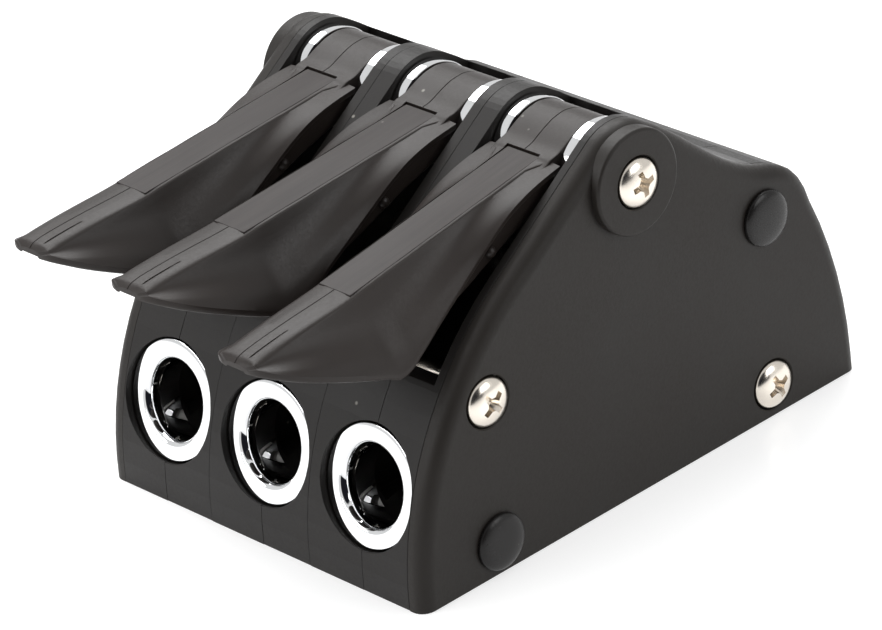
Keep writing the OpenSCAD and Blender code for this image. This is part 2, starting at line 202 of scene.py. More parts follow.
def hermite(table, x, column):
    """Smooth value of a column of the table at x, its first column, without overshoot."""
    last = len(table) - 2
    i = next((k for k in range(last) if x < table[k + 1][0]), last)

    def slope(k):
        return (table[k + 1][column] - table[k][column]) / (table[k + 1][0] - table[k][0])

    def tangent(k):
        if k == 0 or k == len(table) - 1:
            return slope(min(k, len(table) - 2))
        before, after = slope(k - 1), slope(k)
        return 0 if before * after <= 0 else 2 * before * after / (before + after)

    width = table[i + 1][0] - table[i][0]
    t = (x - table[i][0]) / width
    p0, p1 = table[i][column], table[i + 1][column]
    m0, m1 = tangent(i) * width, tangent(i + 1) * width
    return ((2 * t ** 3 - 3 * t * t + 1) * p0 + (t ** 3 - 2 * t * t + t) * m0
            + (3 * t * t - 2 * t ** 3) * p1 + (t ** 3 - t * t) * m1)


def finish_piece(obj, body, slot, material, *nodes):
    """Puts obj on its body, in place of CAD nodes."""
    obj.data.materials.clear()
    obj.data.materials.append(material)
    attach(obj, body)
    if nodes:
        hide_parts(*nodes)


def centre_of(node):
    """Middle of a CAD node's box, in millimetres."""
    low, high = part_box(node)
    return (low + high) / 2 / MM


def size_of(node):
    low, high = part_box(node)
    return (high - low) / MM


# ---------------------------------------------------------------- materials

class Nodes:
    """Short hand for building a material's nodes."""

    def __init__(self, name):
        self.material = bpy.data.materials.new(name)
        self.material.use_nodes = True
        self.tree = self.material.node_tree
        self.shader = self.tree.nodes["Principled BSDF"]
        self.place = self.add("ShaderNodeTexCoord").outputs["Object"]

    def add(self, kind, **inputs):
        node = self.tree.nodes.new(kind)
        for key, value in inputs.items():
            node.inputs[key.replace("_", " ")].default_value = value
        return node

    def link(self, output, node, key):
        self.tree.links.new(output, node.inputs[key])

    def noise(self, scale, detail=2.0, rough=0.5, stretch=None):
        """Noise of scale features to the metre, stretched along the object's axes."""
        node = self.add("ShaderNodeTexNoise", Scale=scale, Detail=detail, Roughness=rough)
        source = self.place
        if stretch:
            mapping = self.add("ShaderNodeMapping")
            mapping.inputs["Scale"].default_value = stretch
            self.link(source, mapping, "Vector")
            source = mapping.outputs["Vector"]
        self.link(source, node, "Vector")
        return node.outputs["Fac"]

    def spread(self, value, low, high, from_low=0.3, from_high=0.7):
        """Maps a value to the range from low to high."""
        node = self.add("ShaderNodeMapRange")
        node.inputs["From Min"].default_value = from_low
        node.inputs["From Max"].default_value = from_high
        node.inputs["To Min"].default_value = low
        node.inputs["To Max"].default_value = high
        self.link(value, node, "Value")
        return node.outputs["Result"]

    def mix(self, factor, a, b):
        """Mixes two colours by a factor."""
        node = self.add("ShaderNodeMix")
        node.data_type = "RGBA"
        self.link(factor, node, 0)
        for value, key in ((a, 6), (b, 7)):
            if isinstance(value, tuple):
                node.inputs[key].default_value = (*value, 1)
            else:
                self.link(value, node, key)
        return node.outputs[2]

    def bump(self, height, distance, strength=1.0, normal=None):
        node = self.add("ShaderNodeBump", Strength=strength, Distance=distance)
        self.link(height, node, "Height")
        if normal:
            self.link(normal, node, "Normal")
        return node.outputs["Normal"]

    def specks(self, scale, share):
        """1 on rare small round specks, else 0."""
        node = self.add("ShaderNodeTexVoronoi", Scale=scale)
        self.link(self.place, node, "Vector")
        near = self.spread(node.outputs["Distance"], 1, 0, 0.05, 0.13)
        chosen = self.add("ShaderNodeSeparateColor")
        self.link(node.outputs["Color"], chosen, "Color")
        rare = self.spread(chosen.outputs["Red"], 0, 1, 1 - share, 1 - share * 0.99)
        both = self.add("ShaderNodeMath")
        both.operation = "MULTIPLY"
        self.link(near, both, 0)
        self.link(rare, both, 1)
        return both.outputs[0]

    def edges(self, low=0.51, high=0.6):
        """Rises on outer edges; cast_metal uses it to paint highlights there."""
        geometry = self.add("ShaderNodeNewGeometry")
        return self.spread(geometry.outputs["Pointiness"], 0, 1, low, high)


def moulded_plastic(name, colour, roughness, grain, grain_depth, gloss, flow=None):
    """Black moulded plastic: fine grain, cloudy gloss, rare dust."""
    n = Nodes(name)
    cloud = n.noise(38, 3)
    fine = n.noise(grain, 3, 0.6)
    tint = n.mix(n.spread(cloud, 0, 1), colour, tuple(c * 1.3 for c in colour))
    dust = n.mix(n.specks(260, 0.018), tint, (0.20, 0.19, 0.17))
    n.link(dust, n.shader, "Base Color")
    base = n.spread(cloud, roughness - 0.05, roughness + 0.05)
    total = n.add("ShaderNodeMath")
    total.operation = "ADD"
    n.link(base, total, 0)
    n.link(n.spread(fine, -0.06, 0.06), total, 1)
    n.link(total.outputs[0], n.shader, "Roughness")
    normal = n.bump(fine, grain_depth * MM)
    if flow:
        normal = n.bump(n.noise(90, 4, 0.6, flow), 0.012 * MM, normal=normal)
    n.link(normal, n.shader, "Normal")
    n.shader.inputs["Specular IOR Level"].default_value = gloss
    return n.material


def polished_metal(name, colour, roughness, wave=0.0, scratch=0.0, stretch=(1, 1, 1)):
    """Bright metal: faint haze, slow waves and fine scratches."""
    n = Nodes(name)
    haze = n.noise(160, 4, 0.6)
    tint = n.mix(n.spread(haze, 0, 1), colour, tuple(c * 0.93 for c in colour))
    n.link(tint, n.shader, "Base Color")
    n.link(n.spread(haze, roughness * 0.7, roughness * 1.4), n.shader, "Roughness")
    n.shader.inputs["Metallic"].default_value = 1.0
    normal = n.bump(n.noise(120, 1), wave * MM)
    if scratch:
        normal = n.bump(n.noise(700, 3, 0.6, stretch), scratch * MM, normal=normal)
    n.link(normal, n.shader, "Normal")
    return n.material


def cast_metal(name, colour, roughness):
    """Blasted casting: coarse grain, with painted highlights on its outer edges that leave its hollows darker."""
    n = Nodes(name)
    grain = n.noise(1500, 4, 0.65)
    patch = n.noise(120, 3)
    tint = n.mix(n.spread(patch, 0, 1), tuple(c * 0.75 for c in colour), colour)
    # Painted highlight: outer edges are lightened by the pointiness mask, so the hollows stay darker as painted
    # shade.
    n.link(n.mix(n.edges(), tint, tuple(min(1, c * 1.5) for c in colour)), n.shader, "Base Color")
    n.link(n.spread(grain, roughness - 0.08, roughness + 0.12), n.shader, "Roughness")
    n.shader.inputs["Metallic"].default_value = 1.0
    n.link(n.bump(grain, 0.06 * MM), n.shader, "Normal")
    return n.material


def brushed_plastic(name, colour, roughness, gloss):
    """Plastic strip rubbed along its length."""
    n = Nodes(name)
    lines = n.noise(900, 4, 0.7, (1.0, 0.03, 0.3))
    cloud = n.noise(60, 2, 0.5, (1.0, 0.4, 1.0))
    tint = n.mix(n.spread(lines, 0, 1), colour, tuple(c * 1.6 for c in colour))
    n.link(n.mix(n.specks(300, 0.02), tint, (0.3, 0.28, 0.26)), n.shader, "Base Color")
    n.link(n.spread(cloud, roughness - 0.04, roughness + 0.06), n.shader, "Roughness")
    n.link(n.bump(lines, 0.02 * MM), n.shader, "Normal")
    n.shader.inputs["Specular IOR Level"].default_value = gloss
    return n.material


MATERIALS = {
    "housing_plastic": moulded_plastic(
        "housing_plastic", (0.0090, 0.0078, 0.0072), 0.44, 1700, 0.012, 0.24, (0.3, 1.0, 0.1)),
    "plate_plastic": moulded_plastic("plate_plastic", (0.0120, 0.0100, 0.0085), 0.48, 1500, 0.030, 0.24),
    "cap_plastic": moulded_plastic("cap_plastic", (0.0080, 0.0072, 0.0070), 0.32, 1400, 0.008, 0.28),
    "lever_plastic": moulded_plastic(
        "lever_plastic", (0.0150, 0.0115, 0.0100), 0.42, 1900, 0.014, 0.26, (1.0, 0.12, 0.6)),
    "strip_plastic": brushed_plastic("strip_plastic", (0.0200, 0.0165, 0.0155), 0.46, 0.18),
    "chrome": polished_metal("chrome", (0.90, 0.91, 0.92), 0.035, 0.012),
    "stainless": polished_metal("stainless", (0.80, 0.74, 0.66), 0.20, 0.02, 0.008, (1.0, 0.3, 1.0)),
    "cam_metal": cast_metal("cam_metal", (0.46, 0.45, 0.43), 0.42),
    "brass": polished_metal("brass", (0.78, 0.60, 0.30), 0.28, 0.01, 0.01, (1.0, 1.0, 0.2)),
}


# ---------------------------------------------------------------- side plates

PLATE_ROUND = 3.3
PLATE_FOOT_ROUND = 0.28
FOOT_Z = 0.5
BOSS_ROUND = 0.7
BOSS_R = 11.1


def face_outline(node, x):
    """The longest loop round the flat face of a CAD node at x, as (y, z) in millimetres."""
    mesh = frame["nodes"][node].data
    flat = {v.index for v in mesh.vertices if abs(v.co.x / MM - x) < 1e-3}
    places = {i: tuple(round(c / MM, 3) for c in mesh.vertices[i].co[1:]) for i in flat}
    count = {}
    for polygon in mesh.polygons:
        if all(i in flat for i in polygon.vertices):
            points = [places[i] for i in polygon.vertices]
            for a, b in zip(points, points[1:] + points[:1]):
                count[(a, b)] = count.get((a, b), 0) + 1
    rim = {a: b for a, b in count if (b, a) not in count and a != b}
    loops = []
    while rim:
        start, here = rim.popitem()
        loop = [start]
        while here != start and here in rim:
            loop.append(here)
            here = rim.pop(here)
        loops.append(loop)
    outline = max(loops, key=lambda loop: abs(area(loop)))
    return outline if area(outline) > 0 else outline[::-1]


def disc_cutter(at, radius, depth, side, rim=0.25):
    """A cutter for a round seat with a broken edge, open towards the side it is on."""
    wide = radius + rim
    profile = [(-depth, 0), (-depth, radius), (-rim, radius), (0, wide), (1, wide), (1, 0)]
    return new_object("cutter", lathe(profile, ACROSS * side, at))


def boss_mesh(side, face, rise):
    """The round boss on a plate's face, with a rounded rim."""
    pivot = Vector((side * face, *PIVOT.yz))
    rim = arc((rise - BOSS_ROUND, BOSS_R - BOSS_ROUND), BOSS_ROUND, 90, 0, 5)
    profile = [(-1.5, 0), (-1.5, BOSS_R)] + rim + [(rise, 0)]
    return new_object("boss", lathe(profile, ACROSS * side, pivot, 128))


def plate_mesh(outline, inner, side):
    """A plate over an outline, rounded round its outer face but hardly at its foot."""
    share = []
    for a, b in zip(outline, outline[1:] + outline[:1]):
        share.append(PLATE_FOOT_ROUND / PLATE_ROUND if max(a[1], b[1]) < FOOT_Z else 1.0)
    sections = [(inner, 0.12), (inner + 0.12, 0.0)]
    for i in range(9):
        a = math.radians(90 * i / 8)
        sections.append((PLATE_FACE - PLATE_ROUND * (1 - math.sin(a)), PLATE_ROUND * (1 - math.cos(a))))
    rings = []
    for x, inset in sections:
        moved = inset_outline(outline, [inset * s for s in share])
        rings.append([(side * x, y, z) for y, z in moved])
    return loft(rings)


def side_plate(node, screws, side):
    """A side plate with a boss round the pivot and seats for its screws."""
    inner, boss_face = plate_faces(node)
    outline = face_outline(node, side * inner)
    plate = new_object(node + "_skin", plate_mesh(outline, inner, side))
    boolean(plate, [boss_mesh(side, PLATE_FACE, boss_face - PLATE_FACE)], "UNION")
    cutters = []
    for i, place in enumerate(screws):
        face = boss_face if i == 0 else PLATE_FACE
        cutters.append(disc_cutter(Vector((side * face, place.y, place.z)), SEAT_R, SEAT_DEPTH, side))
    boolean(plate, cutters, "DIFFERENCE")
    plate.modifiers.new("normals", "WEIGHTED_NORMAL").keep_sharp = True
    finish_piece(plate, "housing", "plate_plastic", MATERIALS["plate_plastic"], node)


def plate_faces(node):
    """Distances from the middle to a side plate's inner face and to the face of its boss."""
    low, high = (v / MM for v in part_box(node))
    return sorted((abs(low.x), abs(high.x)))


# ---------------------------------------------------------------- fasteners

HEAD_R = 5.25
SEAT_R = 5.55
SEAT_DEPTH = 1.6
SHANK_R = 2.5
SHANK_LEN = 16
SHANK_CHAMFER = 0.4
HEAD_RIM = 1.0
HEAD_BREAK = 0.15
HEAD_FULLNESS = 0.92
CROWN_R = 0.25
WING = 2.75
WING_HALF = 0.62
RECESS_DEPTH = 2.3
HEAD_STACK = 3.4
CAP_R = 6.0
CAP_RIM = 0.55
CAP_BREAK = 0.2
CAP_FULLNESS = 0.85


def cross_cutter(at, side, turn):
    """A tapered cross with four small notches between its wings."""
    def cross(reach, half):
        notch = half * 1.9
        quarter = [(reach, half), (notch * 1.05, half * 1.05), (notch * 0.8, notch * 0.8),
                   (half * 1.05, notch * 1.05), (half, reach)]
        points = []
        for k in range(4):
            a = math.radians(90 * k + turn)
            c, s = math.cos(a), math.sin(a)
            points += [(u * c - v * s, u * s + v * c) for u, v in quarter]
        return points

    sections = [(1.0, WING * 1.12, WING_HALF * 1.2), (-0.5, WING, WING_HALF),
                (-RECESS_DEPTH, WING * 0.45, WING_HALF * 0.6)]
    rings = []
    for x, reach, half in sections:
        rings.append([(at.x + side * x, at.y + u, at.z + v) for u, v in cross(reach, half)])
    return new_object("cutter", loft(rings))


def screw(at, side, turn):
    """One raised-head screw, its underside at at."""
    dome = []
    for i in range(12):
        a = math.radians(90 * i / 11)
        rise = (HEAD_STACK - HEAD_RIM) * math.sin(a) ** HEAD_FULLNESS
        dome.append((HEAD_RIM + rise, CROWN_R + (HEAD_R - CROWN_R) * math.cos(a)))
    point = SHANK_R - SHANK_CHAMFER
    profile = [(-SHANK_LEN, 0), (-SHANK_LEN, point), (-SHANK_LEN + SHANK_CHAMFER, SHANK_R), (0, SHANK_R),
               (0, HEAD_R - HEAD_BREAK), (HEAD_BREAK, HEAD_R)] + dome + [(HEAD_STACK, 0)]
    obj = new_object("screw", lathe(profile, ACROSS * side, at, 72))
    boolean(obj, [cross_cutter(at + ACROSS * side * HEAD_STACK, side, turn)], "DIFFERENCE")
    return obj


def join(name, parts):
    """Joins objects into one mesh."""
    bm = bmesh.new()
    for part in parts:
        bm.from_mesh(part.data)
        bpy.data.objects.remove(part)
    bmesh.ops.scale(bm, vec=(1 / MM,) * 3, verts=bm.verts)
    return new_object(name, bm)


def side_screws(node, places, side, turns):
    """The screws of one side, the first of them in the boss."""
    boss_face = plate_faces(node.replace("screws", "side_plate"))[1]
    parts = []
    for i, place in enumerate(places):
        base = (boss_face if i == 0 else PLATE_FACE) - SEAT_DEPTH
        parts.append(screw(Vector((side * base, place.y, place.z)), side, turns[i]))
    obj = join(node + "_heads", parts)
    finish_piece(obj, "housing", "stainless", MATERIALS["stainless"], node)


def end_caps(node, places, side):
    """Domed plugs that stand a little proud of the plate."""
    low, high = (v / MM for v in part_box(node))
    rise = high.x - low.x
    profile = [(0, 0), (0, CAP_R - CAP_BREAK), (CAP_BREAK, CAP_R), (CAP_RIM, CAP_R)]
    for i in range(1, 13):
        a = math.radians(90 * i / 12)
        profile.append((CAP_RIM + (rise - CAP_RIM) * math.sin(a), CAP_R * math.cos(a) ** CAP_FULLNESS))
    bm = bmesh.new()
    for place in places:
        lathe(profile, ACROSS * side, Vector((side * PLATE_FACE, place.y, place.z)), 80, bm)
    obj = new_object(node + "_domes", bm, 40)
    finish_piece(obj, "housing", "plate_plastic", MATERIALS["cap_plastic"], node)


# ---------------------------------------------------------------- fairleads and drums

FAIRLEAD_LEN = 9.5
BELL_DROP = 3.1
FLANGE_T = 2.6
FLAT_BAND = 3.0
TUBE_WALL = 1.5
RING_EDGE = {"front": 0.25, "rear": 0.8}


def fairlead(node):
    """A bell-mouthed ring turned about its own axis."""
    low, high = (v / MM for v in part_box(node))
    radius = (high.x - low.x) / 2
    mount = MOUNTS[node.replace("fairlead", "throat")]
    throat = mount["dims"]["r_mm"]
    wall = throat + TUBE_WALL
    axis = Vector(mount["axis"])
    at = Vector(mount["pos_m"]) / MM + axis * (FAIRLEAD_LEN + BELL_DROP) / 2
    bell_to = max(radius - FLAT_BAND, throat + 1.0)
    bell = []
    for i in range(17):
        a = math.radians(90 * i / 16)
        bell.append((-BELL_DROP * (1 - math.sin(a)), bell_to - (bell_to - throat) * math.cos(a)))
    lip = [(-FAIRLEAD_LEN, wall - 0.25), (-BELL_DROP - 0.9, throat + 0.4),
           (-BELL_DROP - 0.4, throat + 0.1)]
    edge = RING_EDGE[node.split("_")[0]]
    rim = arc((-edge, radius - edge), edge, 0, 90, 4)
    profile = [(-FAIRLEAD_LEN, wall)] + lip + bell
    profile += rim + [(-FLANGE_T, radius), (-FLANGE_T, wall)]
    obj = new_object(node + "_ring", lathe(profile, axis, at, 160))
    finish_piece(obj, "housing", "chrome", MATERIALS["chrome"], node)


DRUM_FLANGE_R = 10.6
DRUM_FLANGE_INNER = 8.0
DRUM_EDGE = 0.45
SLEEVE_R = 5.5
SLEEVE_BORE = 4.05
LOBE_R = 7.6
LOBE_NOSE_R = 5.4
LOBE_OFFSET = 4.9
LOBE_ANGLE = 3
LOBE_HALF = 3.2
THROUGH = 20


def disc(half, radius, at=CENTRE, steps=144):
    """A plain disc that reaches half to either side of at."""
    profile = [(-half, 0), (-half, radius), (half, radius), (half, 0)]
    return new_object("disc", lathe(profile, at=at, steps=steps))


def drum_flange(side, outer):
    """One of the drum's two flanges."""
    rim = arc((outer - DRUM_EDGE, DRUM_FLANGE_R - DRUM_EDGE), DRUM_EDGE, 90, 0, 5)
    inner = DRUM_FLANGE_INNER
    profile = [(inner, 0), (inner, DRUM_FLANGE_R - 0.2), (inner + 0.2, DRUM_FLANGE_R)] + rim
    return new_object("flange", lathe(profile + [(outer, 0)], ACROSS * side, CENTRE, 180))


def lever_drum(k):
    """Chromed drum: two flanges, the sleeve between them and the lobe over the cam."""
    node = f"lever_drum_{k}"
    outer = size_of(node).x / 2
    drum = disc(outer - 0.2, SLEEVE_R)
    angle = math.radians(LOBE_ANGLE)
    nose = disc(LOBE_HALF, LOBE_NOSE_R, Vector((0, -math.sin(angle), -math.cos(angle))) * LOBE_OFFSET)
    base = disc(LOBE_HALF, LOBE_R)
    boolean(drum, [drum_flange(1, outer), drum_flange(-1, outer), nose, base], "UNION")
    boolean(drum, [disc(THROUGH, SLEEVE_BORE, CENTRE, 72)], "DIFFERENCE")
    drum.name = node + "_body"
    drum.data.transform(lever_place(k))
    drum.modifiers.new("normals", "WEIGHTED_NORMAL").keep_sharp = True
    finish_piece(drum, f"lever_{k}", "chrome", MATERIALS["chrome"], node)


# ---------------------------------------------------------------- levers

# Paddle as (distance forward of the pivot, ridge height, half width, edge height)
PADDLE = [
    (11.2, 6.0, 9.9, 4.0), (15, 5.4, 10.1, 3.4), (20, 4.6, 10.3, 2.3), (25, 3.8, 10.5, 0.6),
    (30, 3.1, 10.8, -1.9), (36, 2.1, 11.2, -5.6), (42, 1.2, 11.7, -9.3), (48, 0.2, 12.2, -13.0),
    (54, -0.7, 12.8, -16.8), (57.5, -1.3, 13.0, -18.9), (60, -1.7, 13.0, -19.4), (63, -2.3, 12.9, -18.1),
    (68, -2.9, 12.7, -16.3), (74, -3.5, 12.1, -14.1), (80, -4.2, 11.0, -11.8), (84.2, -4.8, 9.6, -10.1),
    (87, -5.3, 7.8, -8.9), (88.8, -5.9, 5.8, -8.2), (89.6, -6.7, 3.8, -7.9)]
RIDGE_HALF = 5.2
FLARE_FROM = 16
FLARE = 0.5
# Flank from the ridge to the edge, as (share of the width, share of the drop)
FLANK = [(0, 0), (0.15, 0.24), (0.35, 0.44), (0.6, 0.62), (0.8, 0.77), (1, 1)]
RIM_T = 1.5
WALL = 2.8
# Where the ridge's edges grow rounder and the hollow underneath fills up towards the tip
SOFT_FROM = 58
SOFT_GROWTH = 0.06
FILL_FROM = 77
FILL_GROWTH = 0.5
EDGE_DROP = 0.42
RIDGE_CROWN = 0.2
GROOVE_HALF = 0.16
GROOVE_DEPTH = 0.14
PADDLE_STEP = 0.8
HUB_R = 10.3
HUB_AT = (0, 0)
HUB_HALF = 7.8
HUB_EDGE = 0.45
NECK_TOP = [(0, 10.3), (-3, 9.75), (-6, 8.5), (-9, 7.0), (-11.4, 6.4), (-13, 5.6), (-17, 4.0)]
CAM_SLOT = [(-6.4, -14), (12, -14), (12, 6), (-6.4, 6)]
CAM_SLOT_HALF = 3.4
LOBE_GAP = 0.4
WEB = [(-11.8, 4.2), (-25, 2), (-36, -3), (-46, -10), (-46, -13.5), (-36, -9.2), (-26, -4.5), (-12.5, 0.5)]
WEB_INNER = 7.2
WEB_OUTER = 9.3
SPINE = [(-18, 3), (-70, -4), (-70, -6), (-45, -7), (-18, -2)]
SPINE_HALF = 1.2
NUB_R = 1.25
NUB_AT = (-31.2, -5.0)
STRIP_FROM = 11.4
STRIP_TO = 64.0
STRIP_HALF = 4.5
STRIP_T = 1.0
STRIP_Z = 6.1
STRIP_SLOPE = 8.9
STRIP_GAP = 0.35
STRIP_BEVEL = 0.22
STRIP_CUT_H = 3.2


def lever_place(k):
    """From the lever's own frame, about its pivot and closed, to where it rests."""
    hinge = JOINTS[f"lever_{k}_hinge"]
    lift = math.radians(hinge["range_deg"][0])
    return Matrix.Translation(Vector(hinge["pos_m"])) @ Matrix.Rotation(lift, 4, "X")


def ridge_side(top, flat, soft):
    """From the mould line on the ridge to the foot of its rounded edge."""
    crown = top + RIDGE_CROWN
    groove = crown - GROOVE_DEPTH
    line = [(0, groove), (GROOVE_HALF * 0.5, groove), (GROOVE_HALF, crown)]
    line += [(flat * u, crown - 0.15 * u * u) for u in (0.25, 0.45)]
    edge = ((1.2, 0.0), (0.75, 0.02), (0.4, 0.1), (0.12, 0.24))
    line += [(flat - back * soft, top - down * soft) for back, down in edge]
    return line + [(flat, top - EDGE_DROP * soft)]


def under_side(half, low, under, inner):
    """Round the rim and up the hollow to where the underside is flat."""
    lip = half - RIM_T - 0.15
    line = [(half - 0.22, low + 0.25), (half - 0.6, low), (half - 1.05, low), (half - 1.4, low + 0.25),
            (lip, low + 0.7)]
    for i in range(1, 9):
        u = i / 8
        rise = (1 - hermite(FLANK, 1 - u, 1)) ** 0.8
        line.append((lip - (lip - inner) * u, min(low + 0.7 + (under - low - 0.7) * rise, under)))
    return line


def paddle_section(forward):
    """A closed section of the paddle: over the ridge, down both flanks and back underneath."""
    ridge, half, low = (hermite(PADDLE, forward, c) for c in (1, 2, 3))
    top = ridge + 0.05
    flat = min(RIDGE_HALF + max(0, FLARE_FROM - forward) * FLARE, half - 0.8)
    rim = min(low + RIM_T, ridge - 0.5)
    soft = min(1 + max(0, forward - SOFT_FROM) * SOFT_GROWTH, (top - rim) * 1.2)
    side = ridge_side(top, flat, soft)
    foot = top - EDGE_DROP * soft
    for i in range(1, 15):
        u = i / 14
        side.append((flat + (half - flat) * u, foot - (foot - rim) * hermite(FLANK, u, 1)))
    side.append((half - 0.02, (rim + low) / 2))
    wall = WALL + max(0, forward - FILL_FROM) * FILL_GROWTH
    under = max(ridge - wall, low + 0.35)
    side += under_side(half, low, under, flat - 1.8)
    side.append((0, under))
    right = [(x, -forward, z) for x, z in side]
    left = [(-x, -forward, z) for x, z in side[-2:0:-1]]
    return right + left


def paddle_mesh():
    """The paddle, from the neck to the tip."""
    start, end = PADDLE[0][0], PADDLE[-1][0]
    count = round((end - start) / PADDLE_STEP)
    stations = [start + (end - start) * i / count for i in range(count + 1)]
    return loft([paddle_section(s) for s in stations])


def hub_mesh():
    """The hub, its neck and the mould line that runs round it."""
    outline = [(-17, -0.5), (-11, -4)] + arc(HUB_AT, HUB_R, 220, 450, 56)[:-1]
    outline += smooth_line(NECK_TOP, 4)
    half = [(GROOVE_HALF / 2, GROOVE_DEPTH), (GROOVE_HALF, 0), (HUB_HALF - HUB_EDGE, 0),
            (HUB_HALF - HUB_EDGE * 0.3, HUB_EDGE * 0.3), (HUB_HALF, HUB_EDGE)]
    columns = [(-x, inset) for x, inset in half[::-1]] + half
    return loft([moved_in(outline, x, inset) for x, inset in columns])


def smooth_line(points, parts):
    """Points along a smooth curve through the given ones."""
    line = []
    for i in range(len(points) - 1):
        p = [Vector(points[min(max(j, 0), len(points) - 1)]) for j in (i - 1, i, i + 1, i + 2)]
        for k in range(parts):
            t = k / parts
            q = (2 * p[1] + (p[2] - p[0]) * t + (2 * p[0] - 5 * p[1] + 4 * p[2] - p[3]) * t * t
                 + (3 * p[1] - p[0] - 3 * p[2] + p[3]) * t ** 3) / 2
            line.append((q.x, q.y))
    line.append(tuple(points[-1]))
    return line


def web_mesh(side):
    """The rib that runs down into the slot beside the lever's skirt."""
    x = WEB_INNER if side > 0 else -WEB_OUTER
    return extrude(round_corners(WEB, 0.6, 20), x, x + WEB_OUTER - WEB_INNER, 0.4)


def nub_mesh(side):
    """A small round stud on the outside of the web."""
    profile = [(-1.0, 0), (-1.0, NUB_R)] + arc((0, 0), NUB_R, 90, 0, 10)[:-1] + [(NUB_R, 0)]
    return lathe(profile, ACROSS * side, Vector((side * WEB_OUTER, *NUB_AT)), 40)


def strip_cutter():
    """The recess under the label strip, a little longer and wider on one side."""
    bm = bmesh.new()
    bmesh.ops.create_cube(bm, size=1)
    length = STRIP_TO - STRIP_FROM + STRIP_GAP
    width = 2 * STRIP_HALF + STRIP_GAP
    for v in bm.verts:
        v.co.x = v.co.x * width - STRIP_GAP / 2
        v.co.y = v.co.y * length - length / 2 + STRIP_GAP
        v.co.z = (v.co.z + 0.5) * STRIP_CUT_H - STRIP_T
    cutter = new_object("cutter", bm)
    cutter.data.transform(strip_place())
    return cutter


def strip_place():
    """From the strip's own frame, at its rear end, to the lever's."""
    return Matrix.Translation(Vector((0, -STRIP_FROM, STRIP_Z)) * MM) @ Matrix.Rotation(
        math.radians(STRIP_SLOPE), 4, "X")


def lever_mesh():
    """The lever in its own frame, closed, with its pivot at the origin."""
    lever = new_object("lever", paddle_mesh())
    spine = extrude(SPINE, -SPINE_HALF, SPINE_HALF, 0.3)
    added = [new_object("hub", hub_mesh()), new_object("spine", spine)]
    for side in (-1, 1):
        added.append(new_object("web", web_mesh(side)))
        added.append(new_object("nub", nub_mesh(side)))
    boolean(lever, added, "UNION")
    slot = new_object("cutter", extrude(CAM_SLOT, -CAM_SLOT_HALF, CAM_SLOT_HALF))
    clear = disc(CAM_SLOT_HALF, LOBE_R + LOBE_GAP, CENTRE, 72)
    bore = disc(THROUGH, SLEEVE_R + 0.01, CENTRE, 72)
    boolean(lever, [strip_cutter(), bore, clear, slot], "DIFFERENCE")
    return lever


def label_strip(k):
    """A rubbed strip let into the ridge, with a bevelled front end."""
    bm = bmesh.new()
    bmesh.ops.create_cube(bm, size=1)
    length = STRIP_TO - STRIP_FROM
    for v in bm.verts:
        v.co.x *= 2 * STRIP_HALF
        v.co.y = v.co.y * length - length / 2
        v.co.z = (v.co.z - 0.5) * STRIP_T
    bmesh.ops.bevel(bm, geom=list(bm.edges), offset=STRIP_BEVEL, segments=3, affect="EDGES", profile=0.5)
    strip = new_object(f"label_strip_{k}_bar", bm, 25)
    strip.data.transform(lever_place(k) @ strip_place())
    strip.modifiers.new("normals", "WEIGHTED_NORMAL").keep_sharp = True
    finish_piece(strip, f"lever_{k}", "strip_plastic", MATERIALS["strip_plastic"], f"label_strip_{k}")


def levers():
    """The three levers, each with its strip and its drum."""
    pattern = lever_mesh()
    for k in MODULES:
        lever = bpy.data.objects.new(f"lever_{k}_moulding", pattern.data.copy())
        bpy.context.scene.collection.objects.link(lever)
        lever.data.transform(lever_place(k))
        lever.modifiers.new("normals", "WEIGHTED_NORMAL").keep_sharp = True
        finish_piece(lever, f"lever_{k}", "lever_plastic", MATERIALS["lever_plastic"], f"lever_{k}")
        label_strip(k)
        lever_drum(k)
    bpy.data.objects.remove(pattern)


# ---------------------------------------------------------------- the rest of the housing

def soften(node, slot, width=0.35, angle=28):
    """Gives a CAD node its material and breaks its edges."""
    obj = frame["nodes"][node]
    obj.data.materials.clear()
    obj.data.materials.append(MATERIALS[slot])
    weld = obj.modifiers.new("weld", "WELD")
    weld.merge_threshold = 0.002 * MM
    flat = obj.modifiers.new("flat", "DECIMATE")
    flat.decimate_type = "DISSOLVE"
    flat.angle_limit = math.radians(0.6)
    bevel = obj.modifiers.new("edge", "BEVEL")
    bevel.width = width * MM
    bevel.segments = 3
    bevel.limit_method = "ANGLE"
    bevel.angle_limit = math.radians(angle)
    obj.modifiers.new("normals", "WEIGHTED_NORMAL").keep_sharp = True


WIRE_R = 0.6
SPRING_R = 4.3
SPRING_TURNS = 4
SPRING_START = 200


def cam_spring(k):
    """Round wire wound round the cam pin."""
    node = f"cam_spring_{k}"
    low, high = (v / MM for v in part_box(node))
    middle = Vector(JOINTS[f"cam_{k}_hinge"]["pos_m"]) / MM
    start, end = low.x + WIRE_R, high.x - WIRE_R
    rings = []
    steps = 40 * SPRING_TURNS
    for i in range(steps + 1):
        t = i / steps
        a = math.radians(360 * SPRING_TURNS * t + SPRING_START)
        out = Vector((0, math.cos(a), math.sin(a)))
        centre = Vector((start + (end - start) * t, middle.y, middle.z)) + out * SPRING_R
        round_wire = [2 * math.pi * j / 12 for j in range(12)]
        rings.append([centre + WIRE_R * (math.cos(b) * out + math.sin(b) * ACROSS) for b in round_wire])
    obj = new_object(node + "_wire", loft(rings), 50)
    finish_piece(obj, "housing", "stainless", MATERIALS["stainless"], node)


# ---------------------------------------------------------------- stage, light and camera

FLOOR_SIZE = 14
FLOOR_GLOW = 0.62


